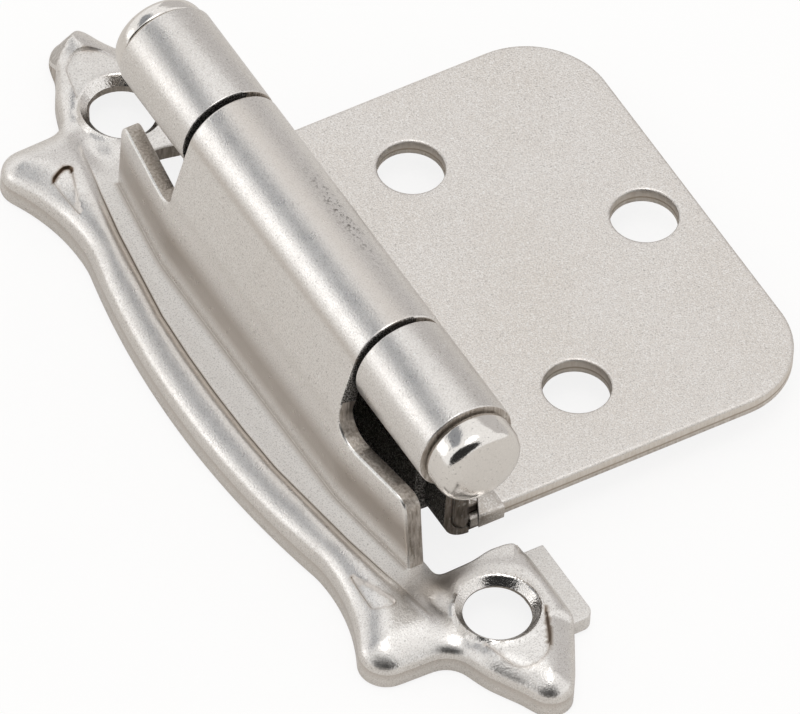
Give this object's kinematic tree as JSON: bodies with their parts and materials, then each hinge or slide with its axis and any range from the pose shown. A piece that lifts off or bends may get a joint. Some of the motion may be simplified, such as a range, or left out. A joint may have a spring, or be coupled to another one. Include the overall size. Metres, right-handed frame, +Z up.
{
  "type": "spring loaded door hinge",
  "caption": "Self-closing overlay cabinet hinge: a decorative scalloped face leaf with a raised knuckle and a flat rounded door wing on one pin, with a hidden closing spring plate.",
  "frame": {"origin": "midway between the two screw holes of the decorative leaf, halfway up their walls, 1.965 mm off the cabinet frame's face", "axes": "+X from the leaf to the door wing's outer edge, +Y along the hinge pin, +Z up off the frame face towards the barrel"},
  "size_m": [0.0415, 0.0696, 0.0186],
  "materials": {
    "satin_nickel_leaf": "satin nickel plate on stamped steel, brownish on the sheared edges",
    "satin_nickel_wing": "satin nickel plate on steel sheet, finely speckled",
    "nickel_spring_steel": "nickel plate on spring steel",
    "bright_nickel_pin": "bright nickel plate on the domed heads"
  },
  "bodies": {
    "frame": {"frame_leaf": "satin_nickel_leaf", "hinge_pin": "bright_nickel_pin"},
    "wing": {"door_wing": "satin_nickel_wing", "closing_spring": "nickel_spring_steel"}
  },
  "joints": [
    {"name": "hinge", "type": "hinge", "parent": "frame", "child": "wing", "pos_m": [-0.0002, 0, 0.01289], "axis": [0, -1, 0], "range_deg": [0, 110], "stiffness_Nm_per_rad": 0.08, "springref_deg": -28.65}
  ]
}
